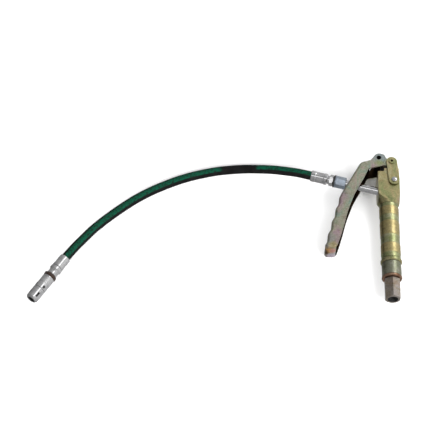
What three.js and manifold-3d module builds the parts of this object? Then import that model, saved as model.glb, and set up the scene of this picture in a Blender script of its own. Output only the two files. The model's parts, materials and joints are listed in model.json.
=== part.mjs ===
// Hand-lever grease gun with a whip hose and a hydraulic coupler, lying on its side.
// Units are millimetres, +Z is up and the surface it lies on is z = 0.
// The handle's own axis runs along Y: the lever head is at +Y and the hex inlet at -Y.

import * as THREE from "three";
import { mergeVertices } from "three/addons/utils/BufferGeometryUtils.js";
import Module from "manifold-3d";

const wasm = await Module();
wasm.setup();

// ---------------------------------------------------------------- driving dimensions

const GAP = 0.3; // clearance between neighbouring pieces
const AXIS = new THREE.Vector3(36.02, -1.15, 18.75); // handle axis: x, zero station, height

const HEAD = { half: 14.3, bottom: 34, turned: 36.8, square: 47, left: 81.5, top: 86.5, step: -5.5 };
const PUMP = { bore: 13.2, packingTop: 80.7, linerTop: 76, linerBottom: 43, rod: 9, rodHole: 9.6 };
const GRIP = { dia: 26, waist: 25.2, bore: 12, socket: 18.6, top: 33.7, bottom: -50 };
const INLET = { ring: 28, collar: 25.4, washer: 26.4, across: 19, end: -108.4, thread: 11.4, pitch: 1.34 };
const LEVER = { half: 14.2, wall: 2, low: [-86, -36], high: [-64.2, 44.5], end: -40.4, eye: [-12, 103.6] };
const RIDGE = { height: 0.9, pitch: 20.5, first: 3.84, run: 76 }; // finger ridges along the lever
const PIVOT = { link: [7, 66.5], lever: [4.7, 96], drive: [-4.3, 95.9] };
const PLATE = { half: 7.3, inner: 14.65, thick: 2.4 };
const OUTLET = { x: -14.3, y: 58.1, tilt: 14.5, pipe: 10.4, adaptor: 14, flange: 17, insert: 13.4 };
const HOSE = { dia: 12, ferrule: 15.2, way: 3.6 };
const COUPLER = { x: -425.1, y: -50.7, turn: 148.4, ring: 17.4, body: 16.2, tip: 75.2 };

const FINE = 32; // facets round the large turned pieces
const MEDIUM = 20;
const SMALL = 12;

// The hose centre line from ferrule to ferrule: x and y from the handle axis, z from the surface.
const HOSE_ROUTE = [
  [-103.2, 81.1, 18.8],
  [-121.5, 85.8, 18.3],
  [-138, 90.2, 15.4],
  [-154.5, 94.6, 11.6],
  [-171, 97.1, 8.7],
  [-192.4, 98.1, 6.7],
  [-214.6, 96.3, 6.1],
  [-233.2, 93.2, 6.1],
  [-251.1, 88.6, 6.1],
  [-269.8, 82.6, 6.1],
  [-287.2, 75.4, 6.1],
  [-304.8, 66.6, 6.1],
  [-322.5, 56.4, 6.1],
  [-340.6, 43.8, 6.1],
  [-358.4, 29, 6.1],
  [-375.4, 13.2, 6.3],
  [-391.3, -3.6, 6.8],
  [-403.2, -19.1, 7.6],
  [-414.1, -34.2, 8.6],
  [-425.4, -51.2, 8.8],
];

// ---------------------------------------------------------------- materials

const finish = (color, roughness, metalness) => ({ color, roughness, metalness });
const YELLOW_ZINC = finish(0xb9a05a, 0.38, 0.9);
const OLIVE_ZINC = finish(0x8f8d62, 0.4, 0.9);
const PINK_ZINC = finish(0x8a6f66, 0.38, 0.9);
const BRIGHT_STEEL = finish(0xb8bcc2, 0.25, 1);
const DARK_STEEL = finish(0x5c5f63, 0.4, 1);
const COPPER = finish(0xa8674c, 0.4, 0.9);
const BLACK_RUBBER = finish(0x17191a, 0.7, 0);
const BROWN_RUBBER = finish(0x3a2a22, 0.6, 0);
const SEAL = finish(0x8c2f22, 0.6, 0);

// ---------------------------------------------------------------- solid helpers

function solidOf(geometry) {
  const plain = geometry.clone();
  plain.deleteAttribute("normal");
  plain.deleteAttribute("uv");
  const merged = mergeVertices(plain, 1e-4);
  return new wasm.Manifold(
    new wasm.Mesh({
      numProp: 3,
      vertProperties: new Float32Array(merged.attributes.position.array),
      triVerts: new Uint32Array(merged.index.array),
    }),
  );
}

function geometryOf(solid) {
  const mesh = solid.getMesh();
  const geometry = new THREE.BufferGeometry();
  geometry.setAttribute("position", new THREE.BufferAttribute(new Float32Array(mesh.vertProperties), 3));
  geometry.setIndex(new THREE.BufferAttribute(new Uint32Array(mesh.triVerts), 1));
  geometry.computeVertexNormals();
  return geometry;
}

function cut(base, ...tools) {
  return geometryOf(tools.reduce((left, tool) => left.subtract(solidOf(tool)), solidOf(base)));
}

function join(base, ...others) {
  return geometryOf(others.reduce((sum, other) => sum.add(solidOf(other)), solidOf(base)));
}

function keepInside(base, limit) {
  return geometryOf(solidOf(base).intersect(solidOf(limit)));
}

// A solid turned about Y from [radius, y] points; a profile off the axis closes on itself.
function turned(profile, facets = MEDIUM) {
  const points = profile.map(([r, y]) => new THREE.Vector2(r, y));
  const onAxis = points[0].x === 0 && points.at(-1).x === 0;
  if (!onAxis) points.push(points[0].clone());
  return new THREE.LatheGeometry(points, facets);
}

function rod(radius, from, to, facets = MEDIUM) {
  return turned([[0, from], [radius, from], [radius, to], [0, to]], facets);
}

function sleeve(inner, outer, from, to, facets = MEDIUM) {
  return turned([[inner, from], [outer, from], [outer, to], [inner, to]], facets);
}

function ball(radius, y) {
  return new THREE.SphereGeometry(radius, 12, 8).translate(0, y, 0);
}

// A rod along Z, centred on [x, y].
function pin(radius, [x, y], from, to, facets = SMALL) {
  return rod(radius, from, to, facets).rotateX(Math.PI / 2).translate(x, y, 0);
}

function plate(shape, from, to, curveSegments = 9) {
  const options = { depth: to - from, bevelEnabled: false, curveSegments };
  return new THREE.ExtrudeGeometry(shape, options).translate(0, 0, from);
}

// A hexagonal bar along Y with a corner towards +Z and turned, chamfered ends.
function hexBar(across, from, to, chamfer = 1.2) {
  const corner = across / Math.sqrt(3);
  const bar = new THREE.CylinderGeometry(corner, corner, to - from, 6).translate(0, (from + to) / 2, 0);
  const inner = across / 2 - 0.2;
  const outer = corner + 0.1;
  const profile = [[0, from], [inner, from], [outer, from + chamfer]];
  profile.push([outer, to - chamfer], [inner, to], [0, to]);
  return keepInside(bar, turned(profile, FINE));
}

// A coil spring round Y, its round wire drawn along a helix.
function coilSpring(radius, wire, from, to, turns) {
  const length = to - from - wire;
  const helix = new THREE.Curve();
  helix.getPoint = (t) => {
    const angle = 2 * Math.PI * turns * t;
    const y = from + wire / 2 + length * t;
    return new THREE.Vector3(radius * Math.cos(angle), y, radius * Math.sin(angle));
  };
  const section = new THREE.Shape();
  section.absarc(0, 0, wire / 2, 0, 2 * Math.PI);
  const steps = Math.ceil(turns * 10);
  const options = { steps, curveSegments: 3, extrudePath: helix, bevelEnabled: false };
  return new THREE.ExtrudeGeometry(section, options);
}

function roundEndBar(from, to, radius) {
  const along = Math.atan2(to[1] - from[1], to[0] - from[0]);
  const shape = new THREE.Shape();
  shape.absarc(to[0], to[1], radius, along - Math.PI / 2, along + Math.PI / 2);
  shape.absarc(from[0], from[1], radius, along + Math.PI / 2, along + 1.5 * Math.PI);
  shape.closePath();
  return shape;
}

function named(group, name, geometry, look) {
  const mesh = new THREE.Mesh(geometry, new THREE.MeshStandardMaterial(look));
  mesh.name = name;
  group.add(mesh);
  return mesh;
}

// A child group whose own +Y leaves the handle at [x, y, z], turned by a number of degrees about Z.
function branch(parent, x, y, z, degrees) {
  const group = new THREE.Group();
  group.position.set(x, y, z);
  group.rotation.z = THREE.MathUtils.degToRad(degrees);
  parent.add(group);
  return group;
}

// ---------------------------------------------------------------- head and pump

function headBlock() {
  const { half, bottom, turned: cone, square, left, top, step } = HEAD;
  const side = new THREE.Shape();
  side.moveTo(-half, bottom);
  side.lineTo(half, bottom);
  side.lineTo(half, top);
  side.lineTo(step, top);
  side.lineTo(step, left);
  side.lineTo(-half, left);
  side.closePath();
  const corner = half * Math.SQRT2;
  const limit = [[0, bottom], [12.6, bottom], [half, cone], [corner + 0.2, square]];
  limit.push([corner - 0.6, top + 1], [0, top + 1]);
  const block = keepInside(plate(side, -half, half), turned(limit, FINE));
  const spigot = rod(9, 22, bottom + 1, FINE);
  return cut(join(block, spigot), ...headBores());
}

function headBores() {
  const { bore, packingTop, rodHole } = PUMP;
  const angle = THREE.MathUtils.degToRad(90 - OUTLET.tilt);
  const socket = rod(OUTLET.pipe / 2 + GAP, -6, 6).rotateZ(angle).translate(OUTLET.x, OUTLET.y, 0);
  const port = rod(2, -14.5, 2, SMALL).rotateZ(angle).translate(OUTLET.x, OUTLET.y, 0);
  const screwHoles = [-16, 6.7].map((from) => pin(2.5 + GAP, PIVOT.link, from, from + 9.3));
  return [
    rod(bore / 2, 20, packingTop + GAP),
    rod(rodHole / 2, packingTop - 1, HEAD.top + 2),
    socket,
    port,
    ...screwHoles,
  ];
}

// The liner guides the plunger; a cage for the inlet ball is bored into its lower end.
function pumpLiner() {
  const { linerTop, linerBottom, bore, rodHole } = PUMP;
  const outer = bore / 2 - GAP;
  const body = sleeve(rodHole / 2, outer, 53.5, linerTop);
  const cage = turned(
    [[3.8, linerBottom], [outer, linerBottom], [outer, 54], [1.7, 54], [1.7, 52], [3.8, 52]],
  );
  const port = rod(2, -4, 12, SMALL).rotateZ(Math.PI / 2).translate(0, 55.5, 0);
  return cut(join(body, cage), port);
}

function seatPlug() {
  const outer = PUMP.bore / 2 - GAP;
  return turned([[2, 34], [outer, 34], [outer, 42.7], [3.1, 42.7], [2.4, 41.6], [2, 41]]);
}

// A round rod whose upper end is milled to a flat eye beside the lever's pivot pin.
function plunger() {
  const [x, y] = PIVOT.drive;
  const r = PUMP.rod / 2;
  const body = turned([[0, 60], [r - 0.4, 60], [r, 60.6], [r, 90.6], [r - 0.4, 91], [0, 91]]);
  const eye = new THREE.Shape();
  eye.moveTo(0.6, 90);
  eye.lineTo(0.6, y);
  eye.absarc(x, y, 4.2, 0.4, Math.PI, false);
  eye.lineTo(x - 4.2, y - 1.5);
  eye.lineTo(-4, 90.8);
  eye.lineTo(-4, 90);
  eye.closePath();
  const blade = cut(plate(eye, -4, 4), pin(3, PIVOT.drive, -6, 6, 16));
  return join(body, blade);
}

// ---------------------------------------------------------------- grip and inlet

// The grip bar has four shallow turned waists between full-diameter lands.
function gripTube() {
  const land = GRIP.dia / 2;
  const waist = GRIP.waist / 2;
  const outer = [[land - 0.5, GRIP.bottom], [waist, GRIP.bottom + 0.5]];
  for (const [from, to] of [[-43, -29], [-15.5, 5.5], [15.5, 28]]) {
    outer.push([waist, from - 0.8], [land, from], [land, to], [waist, to + 0.8]);
  }
  outer.push([waist, GRIP.top]);
  const socket = GRIP.socket / 2;
  const inner = [[socket, GRIP.top], [socket, 21.4], [GRIP.bore / 2, 21.4], [GRIP.bore / 2, GRIP.bottom]];
  return turned([...outer, ...inner], FINE);
}

function gripEndRing() {
  const r = INLET.ring / 2;
  const rim = [[r - 1.2, -55.9], [r, -54.6], [r, -52], [r - 1.4, -50.3]];
  return turned([[6.3, -55.9], ...rim, [6.3, -50.3]], FINE);
}

function inletCollar() {
  const r = INLET.collar / 2;
  const outside = [[7.4, -75.6], [r, -75.6], [r, -56.8], [r - 0.6, -56.2]];
  const spigot = [[5.7, -56.2], [5.7, -38], [3.5, -38], [3.5, -59], [7.4, -59]];
  return turned([...outside, ...spigot], FINE);
}

function inletSealWasher() {
  const r = INLET.washer / 2;
  const rim = [[r - 1.2, -79.3], [r, -78.2], [r, -76.4], [r - 0.4, -75.9]];
  return turned([[7.4, -79.3], ...rim, [7.4, -75.9]], FINE);
}

// The hex fitting has a spigot into the collar and a threaded socket at its open end.
function inletHex() {
  const { across, end, thread, pitch } = INLET;
  const body = join(hexBar(across, end, -79.6), rod(7.1, -80.5, -60));
  const crest = thread / 2;
  const root = crest + 0.7;
  const hole = [[0, end - 1], [crest + 1.1, end - 1], [crest + 0.9, end], [crest, end + 0.9]];
  for (let turn = 1; turn <= 6; turn += 1) {
    const y = end + 0.9 + turn * pitch;
    hole.push([root, y - pitch / 2], [crest, y]);
  }
  hole.push([crest, end + 14], [3, end + 15.5], [3, -59], [0, -59]);
  return cut(body, turned(hole));
}

// ---------------------------------------------------------------- lever and links

// The lever's finger side, from the lowest end upwards: ridges with a shallow hollow between each pair.
function fingerSide() {
  const low = new THREE.Vector2(...LEVER.low);
  const high = new THREE.Vector2(...LEVER.high);
  const along = high.clone().sub(low).normalize();
  const outward = new THREE.Vector2(-along.y, along.x);
  const steps = 27;
  const points = [];
  for (let i = 0; i <= steps; i += 1) {
    const s = (RIDGE.run * i) / steps;
    const ridge = RIDGE.height * Math.cos((2 * Math.PI * (s + RIDGE.first)) / RIDGE.pitch);
    points.push(low.clone().addScaledVector(along, s).addScaledVector(outward, ridge));
  }
  return [...points, high];
}

// Lever outline on its side: finger side and back edge first, then the free edge towards the grip.
const LEVER_TOP = [[-51.3, 69], [-38.6, 93.2]];
const FREE_EDGE = [
  [-33.4, 69.5],
  [-41.4, 54],
  [-46.2, 44],
  [-50.6, 32],
  [-54.7, 20],
  [-58, 8],
  [-61.2, -5],
  [-66.4, -24],
  [-69.6, -34],
];

function leverOutline() {
  const fingers = fingerSide();
  const shape = new THREE.Shape(fingers);
  LEVER_TOP.forEach(([x, y]) => shape.lineTo(x, y));
  shape.quadraticCurveTo(-36.2, 97.6, -31, 98.2);
  shape.lineTo(-23.5, 99);
  shape.absarc(-11.4, 103.4, 7.3, THREE.MathUtils.degToRad(155), THREE.MathUtils.degToRad(66), true);
  shape.lineTo(-5, 108.7);
  shape.lineTo(-3.2, 106.6);
  shape.lineTo(-2.4, 103);
  const [px, py] = PIVOT.lever;
  shape.absarc(px, py, 7.6, THREE.MathUtils.degToRad(128), THREE.MathUtils.degToRad(-104), true);
  shape.lineTo(-4.2, 91.2);
  shape.lineTo(-24.5, 86.4);
  shape.quadraticCurveTo(-27, 85.2, -28, 81.5);
  FREE_EDGE.forEach(([x, y]) => shape.lineTo(x, y));
  shape.quadraticCurveTo(-71.6, LEVER.end, -76.2, LEVER.end);
  shape.lineTo(-81.4, LEVER.end);
  shape.quadraticCurveTo(-85.6, LEVER.end, fingers[0].x + 0.1, fingers[0].y - 0.6);
  return shape;
}

// What is hollowed out between the walls: all that is more than a wall inside the web.
function leverHollow() {
  const { wall, end } = LEVER;
  const floor = end + wall;
  const inside = fingerSide().map((p) => new THREE.Vector2(p.x + wall, p.y));
  const shape = new THREE.Shape([new THREE.Vector2(-80.6, floor), ...inside]);
  shape.lineTo(-49.4, 68.2);
  shape.lineTo(-36.7, 92.4);
  shape.quadraticCurveTo(-34.9, 95.6, -31, 96.2);
  shape.lineTo(-23.2, 97);
  shape.lineTo(-23.2, 120);
  shape.lineTo(20, 120);
  shape.lineTo(20, floor);
  shape.closePath();
  return shape;
}

// A spacer tube holds the two lugs of the hanging eye apart.
function lever() {
  const { half, wall, eye } = LEVER;
  const hollow = plate(leverHollow(), -(half - wall), half - wall);
  const slot = new THREE.BoxGeometry(16, 33, 13);
  slot.rotateZ(THREE.MathUtils.degToRad(-28)).translate(-47.5, 75, 0);
  const channel = cut(plate(leverOutline(), -half, half), hollow, slot);
  const spacer = pin(4.8, eye, -(half - wall) - 0.4, half - wall + 0.4, 16);
  return cut(
    join(channel, spacer),
    pin(3 + GAP, PIVOT.lever, -20, 20, 16),
    pin(2.5 + GAP, PIVOT.drive, -20, 20, 16),
    pin(3.2, eye, -20, 20, 16),
  );
}

function linkPlate(side) {
  const { half, inner, thick } = PLATE;
  const outline = roundEndBar(PIVOT.link, PIVOT.lever, half);
  const low = side > 0 ? inner : -inner - thick;
  return cut(
    plate(outline, low, low + thick),
    pin(3 + GAP, PIVOT.link, -20, 20, 16),
    pin(3 + GAP, PIVOT.lever, -20, 20, 16),
  );
}

// A shoulder screw through the lower end of a link plate into the head.
function linkScrew(side) {
  const outside = PLATE.inner + PLATE.thick + GAP;
  const profile = [[0, 7], [2.5, 7], [2.5, 14.0], [3, 14.65], [3, outside], [3.6, outside]];
  profile.push([3.6, outside + 0.9], [2.9, outside + 1.4], [0, outside + 1.4]);
  return turned(profile, 16).rotateX((Math.PI / 2) * side).translate(...PIVOT.link, 0);
}

// The top pin is riveted over outside both link plates.
function linkTopPin() {
  const outside = PLATE.inner + PLATE.thick + GAP;
  const end = outside + 1.2;
  const profile = [[0, -end], [3.4, -end], [4.1, -end + 0.6], [4.1, -outside], [3, -outside]];
  profile.push([3, outside], [4.1, outside], [4.1, end - 0.6], [3.4, end], [0, end]);
  return turned(profile, 16).rotateX(Math.PI / 2).translate(...PIVOT.lever, 0);
}

// ---------------------------------------------------------------- outlet

// The adaptor takes the pipe and the outlet check valve and ends in a round flange.
function outletAdaptor() {
  const body = hexBar(OUTLET.adaptor, 43.5, 57.2, 1);
  const r = OUTLET.flange / 2;
  const flange = turned([[0, 56.9], [r - 0.3, 56.9], [r, 57.2], [r, 58], [r - 0.3, 58.3], [0, 58.3]]);
  const pipeSocket = [[0, 42], [5.5, 42], [5.5, 47.5], [3.5, 47.5]];
  const insertSocket = [[3.5, 54.5], [4.8, 54.5], [4.8, 59], [0, 59]];
  return cut(join(body, flange), turned([...pipeSocket, ...insertSocket]));
}

function frontInsert() {
  const hex = hexBar(OUTLET.insert, 60.9, 66.2, 0.8);
  const nose = rod(4.5, 54.8, 62);
  const neck = rod(5.75, 65.5, 68.5);
  return cut(join(hex, nose, neck), rod(HOSE.way / 2, 50, 80, SMALL));
}

// A crimped ferrule with a full-diameter collar at its first end and a rolled lip at the hose.
function ferrule(from, to) {
  const r = HOSE.ferrule / 2;
  const way = HOSE.way / 2;
  const crimped = r - 0.35;
  const lip = r - 0.1;
  const collar = [[way, from], [r - 1, from], [r, from + 1.2], [r, from + 4.2], [crimped, from + 5]];
  const end = [[crimped, to - 6.6], [lip, to - 6], [lip, to - 0.7], [r - 0.8, to], [way, to]];
  return turned([...collar, ...end]);
}

function hoseTube() {
  const curve = new THREE.CatmullRomCurve3(
    HOSE_ROUTE.map(([x, y, z]) => new THREE.Vector3(x, y, z - AXIS.z)),
    false,
    "centripetal",
  );
  const section = new THREE.Shape();
  section.absarc(0, 0, HOSE.dia / 2, 0, 2 * Math.PI);
  const options = { steps: 54, curveSegments: 5, extrudePath: curve, bevelEnabled: false };
  return new THREE.ExtrudeGeometry(section, options);
}

// ---------------------------------------------------------------- coupler

// The rear insert carries a round collar, a tapered neck and the coupler's threaded spigot.
function rearInsert() {
  const way = HOSE.way / 2;
  const r = COUPLER.body / 2;
  const collar = [[way, 19.4], [r - 0.4, 19.4], [r, 19.8], [r, 23.4], [r - 0.5, 23.8]];
  const neck = [[6.9, 25], [6.55, 27], [6.55, 31.2], [6, 32], [4.2, 32], [4.2, 40], [way, 40]];
  return turned([...collar, ...neck]);
}

function couplerLockRing() {
  const r = COUPLER.ring / 2;
  return turned([[4.5, 32.3], [r - 0.8, 32.3], [r, 33], [r, 35.6], [r - 0.8, 36.3], [4.5, 36.3]], FINE);
}

function couplerBody() {
  const r = COUPLER.body / 2;
  const outside = [[4.5, 36.6], [r - 0.6, 36.6], [r, 37.2], [r, 56.5], [r - 0.4, 57]];
  const spigot = [[5.6, 57], [5.6, 60], [4.9, 60], [4.9, 42], [4.5, 42]];
  return turned([...outside, ...spigot]);
}

function couplerNose() {
  const r = COUPLER.body / 2;
  const { tip } = COUPLER;
  const outside = [[6, 57.3], [r - 0.4, 57.3], [r, 57.8], [r, tip - 2.4]];
  const mouth = [[r - 1.2, tip - 0.4], [r - 1.7, tip], [4.9, tip], [4.9, 72.6]];
  return turned([...outside, ...mouth, [5.6, 68], [5.6, 60.4], [6, 60.4]]);
}

// One quarter of the slotted collet that grips the nipple.
function couplerJaw(index) {
  const outside = [[3.2, 64.6], [5.2, 64.6], [5.2, 68], [4.55, 72.4], [3.9, 73]];
  const ring = turned([...outside, [2.8, 72], [2.8, 70], [3.2, 69]]);
  const wedge = new THREE.Shape();
  const spread = THREE.MathUtils.degToRad(38);
  wedge.moveTo(0.4, 0);
  wedge.lineTo(9 * Math.cos(spread), 9 * Math.sin(spread));
  wedge.lineTo(9 * Math.cos(spread), -9 * Math.sin(spread));
  wedge.closePath();
  const quarter = (Math.PI / 2) * (index + 0.5);
  const sector = plate(wedge, 60, 76).rotateX(-Math.PI / 2).rotateY(quarter);
  return keepInside(ring, sector);
}

function couplerSeal() {
  return turned([[1.4, 57.5], [4.6, 57.5], [4.6, 60], [4.2, 64.2], [2.6, 64.2], [2.2, 61], [1.4, 60.6]]);
}

// ---------------------------------------------------------------- assembly

const gun = new THREE.Group();
gun.position.copy(AXIS);

named(gun, "head_block", headBlock(), YELLOW_ZINC);
named(gun, "pump_liner", pumpLiner(), DARK_STEEL);
named(gun, "plunger_packing", sleeve(4.8, 6.3, 76.3, 80.7), SEAL);
named(gun, "inlet_valve_seat", seatPlug(), DARK_STEEL);
named(gun, "inlet_check_ball", ball(3, 44.9), BRIGHT_STEEL);
named(gun, "inlet_check_spring", coilSpring(1.9, 0.5, 48.1, 51.7, 3), BRIGHT_STEEL);
named(gun, "plunger", plunger(), BRIGHT_STEEL);
named(gun, "plunger_return_spring", coilSpring(3.6, 0.9, 54.3, 59.7, 2.5), BRIGHT_STEEL);

named(gun, "grip_tube", gripTube(), YELLOW_ZINC);
named(gun, "grip_end_ring", gripEndRing(), YELLOW_ZINC);
named(gun, "inlet_collar", inletCollar(), OLIVE_ZINC);
named(gun, "inlet_seal_washer", inletSealWasher(), COPPER);
named(gun, "inlet_hex", inletHex(), PINK_ZINC);

named(gun, "lever", lever(), OLIVE_ZINC);
named(gun, "drive_pin", pin(2.5, PIVOT.drive, -LEVER.half + 0.1, LEVER.half - 0.1), OLIVE_ZINC);
named(gun, "link_plate_front", linkPlate(1), YELLOW_ZINC);
named(gun, "link_plate_back", linkPlate(-1), YELLOW_ZINC);
named(gun, "link_top_pin", linkTopPin(), OLIVE_ZINC);
named(gun, "link_screw_front", linkScrew(1), BRIGHT_STEEL);
named(gun, "link_screw_back", linkScrew(-1), BRIGHT_STEEL);

const outlet = branch(gun, OUTLET.x, OUTLET.y, 0, 90 - OUTLET.tilt);
named(outlet, "outlet_pipe", sleeve(2.2, OUTLET.pipe / 2, -5.7, 47.2), BRIGHT_STEEL);
named(outlet, "outlet_adaptor", outletAdaptor(), BRIGHT_STEEL);
named(outlet, "outlet_check_ball", ball(2.8, 49.2), BRIGHT_STEEL);
named(outlet, "outlet_check_spring", coilSpring(2.1, 0.5, 52.1, 54.4, 2.5), BRIGHT_STEEL);
named(outlet, "adaptor_seal_ring", sleeve(4.9, 8.4, 58.6, 60.6), BLACK_RUBBER);
named(outlet, "front_insert", frontInsert(), BRIGHT_STEEL);
named(outlet, "front_ferrule", ferrule(68.8, 91.5), BRIGHT_STEEL);

named(gun, "hose", hoseTube(), BLACK_RUBBER);

const coupler = branch(gun, COUPLER.x, COUPLER.y, COUPLER.ring / 2 + 0.1 - AXIS.z, COUPLER.turn);
named(coupler, "rear_ferrule", ferrule(-19.1, -1).rotateZ(Math.PI), BRIGHT_STEEL);
named(coupler, "rear_insert", rearInsert(), BRIGHT_STEEL);
named(coupler, "coupler_lock_ring", couplerLockRing(), BROWN_RUBBER);
named(coupler, "coupler_body", couplerBody(), BRIGHT_STEEL);
named(coupler, "coupler_nose", couplerNose(), BRIGHT_STEEL);
named(coupler, "coupler_seal", couplerSeal(), SEAL);
named(coupler, "coupler_spring", coilSpring(3.4, 0.8, 42.3, 57.2, 6), BRIGHT_STEEL);
for (let index = 0; index < 4; index += 1) {
  named(coupler, `coupler_jaw_${index + 1}`, couplerJaw(index), DARK_STEEL);
}

export default gun;
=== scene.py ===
"""Looks of a hand-lever grease gun with a whip hose and a hydraulic coupler, lying on its side.

Local shapes are given in millimetres in the part's own axes (+Y along each axis of turning).
The `place` matrices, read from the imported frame, put them in the object's frame in metres.
"""

import json
import math

import bmesh
import bpy
from mathutils import Matrix, Vector

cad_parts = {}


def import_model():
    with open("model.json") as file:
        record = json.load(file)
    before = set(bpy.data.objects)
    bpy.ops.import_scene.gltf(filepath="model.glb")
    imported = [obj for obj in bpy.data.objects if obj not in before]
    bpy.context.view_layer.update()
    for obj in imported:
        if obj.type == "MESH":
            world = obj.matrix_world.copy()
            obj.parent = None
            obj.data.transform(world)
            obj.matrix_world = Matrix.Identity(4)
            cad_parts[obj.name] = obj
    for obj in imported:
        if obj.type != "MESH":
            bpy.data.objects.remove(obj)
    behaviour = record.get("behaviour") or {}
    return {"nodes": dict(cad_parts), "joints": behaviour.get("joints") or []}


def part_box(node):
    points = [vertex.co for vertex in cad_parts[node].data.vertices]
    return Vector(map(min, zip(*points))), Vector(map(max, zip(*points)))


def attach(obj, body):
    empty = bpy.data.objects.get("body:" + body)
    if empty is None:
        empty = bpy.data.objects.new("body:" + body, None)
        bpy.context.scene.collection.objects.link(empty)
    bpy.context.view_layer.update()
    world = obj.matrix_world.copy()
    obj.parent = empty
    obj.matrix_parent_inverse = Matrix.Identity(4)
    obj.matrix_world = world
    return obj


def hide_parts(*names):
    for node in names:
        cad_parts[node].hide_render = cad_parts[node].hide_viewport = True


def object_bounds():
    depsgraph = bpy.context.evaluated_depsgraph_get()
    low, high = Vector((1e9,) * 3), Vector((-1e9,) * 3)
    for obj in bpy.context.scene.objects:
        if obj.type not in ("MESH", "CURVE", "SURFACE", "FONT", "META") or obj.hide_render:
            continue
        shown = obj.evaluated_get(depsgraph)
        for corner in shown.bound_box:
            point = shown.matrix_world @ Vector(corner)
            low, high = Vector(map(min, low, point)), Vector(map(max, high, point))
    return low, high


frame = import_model()
cad_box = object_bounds()

MM = 0.001
ROUND_SEGMENTS = 96  # steps round a large turned piece
SMALL_SEGMENTS = 48  # steps round a pin or a hole
FINE_SEGMENTS = 128  # steps round a grip or a crimped ferrule
ARC_STEPS = 4  # steps in a rounded corner
CURVE_STEPS = 8  # steps in a quadratic curve
SPLINE_STEPS = 6  # steps in each span of a spline
SHARP = math.radians(32)  # edges sharper than this stay crisp
MERGE = 0.015  # vertices nearer than this are one, mm

# ------------------------------------------------------------------ places read from the frame

GRIP_BOTTOM = -50  # stations along each axis, mm
SEAL_RING_MID = 59.6
LOCK_RING_MID = 34.3


def centre_of(node):
    low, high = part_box(node)
    return (low + high) / 2


def joint(name):
    return next(j for j in frame["joints"] if j["name"] == name)


def place_along(centre, direction, station):
    """A matrix whose +Y runs along a level direction, with `station` mm of it at centre."""
    turn = math.atan2(direction[1], direction[0]) - math.pi / 2
    origin = centre - Vector(direction) * station * MM
    return Matrix.Translation(origin) @ Matrix.Rotation(turn, 4, "Z")


grip_mid = centre_of("grip_tube")
zero_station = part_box("grip_tube")[0].y - GRIP_BOTTOM * MM
HANDLE = Matrix.Translation((grip_mid.x, zero_station, grip_mid.z))
OUTLET = place_along(centre_of("adaptor_seal_ring"), joint("outlet_ball_lift")["axis"], SEAL_RING_MID)
COUPLER = place_along(
    centre_of("coupler_lock_ring"), [-c for c in joint("jaw_slide")["axis"]], LOCK_RING_MID
)
HANDLE_ORIGIN = HANDLE.translation
SCREW_AXIS = Vector(joint("link_swing")["pos_m"]) - HANDLE_ORIGIN
PIN_AXIS = Vector(joint("lever_squeeze")["pos_m"]) - HANDLE_ORIGIN
DRIVE_AXIS = centre_of("drive_pin") - HANDLE_ORIGIN

# ------------------------------------------------------------------ camera

CAMERA_LENS = 119.12  # mm on a 36 mm sensor
CAMERA_LOCATION = (-0.16442, -1.02994, 1.61977)
CAMERA_TILT = 33  # degrees from straight down
CAMERA_TURN = 1.5

camera_data = bpy.data.cameras.new("camera")
camera_data.sensor_width = 36
camera_data.lens = CAMERA_LENS
camera = bpy.data.objects.new("camera", camera_data)
camera.location = CAMERA_LOCATION
camera.rotation_euler = (math.radians(CAMERA_TILT), 0, math.radians(CAMERA_TURN))
bpy.context.scene.collection.objects.link(camera)
bpy.context.scene.camera = camera

# ------------------------------------------------------------------ node-tree helper


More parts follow.
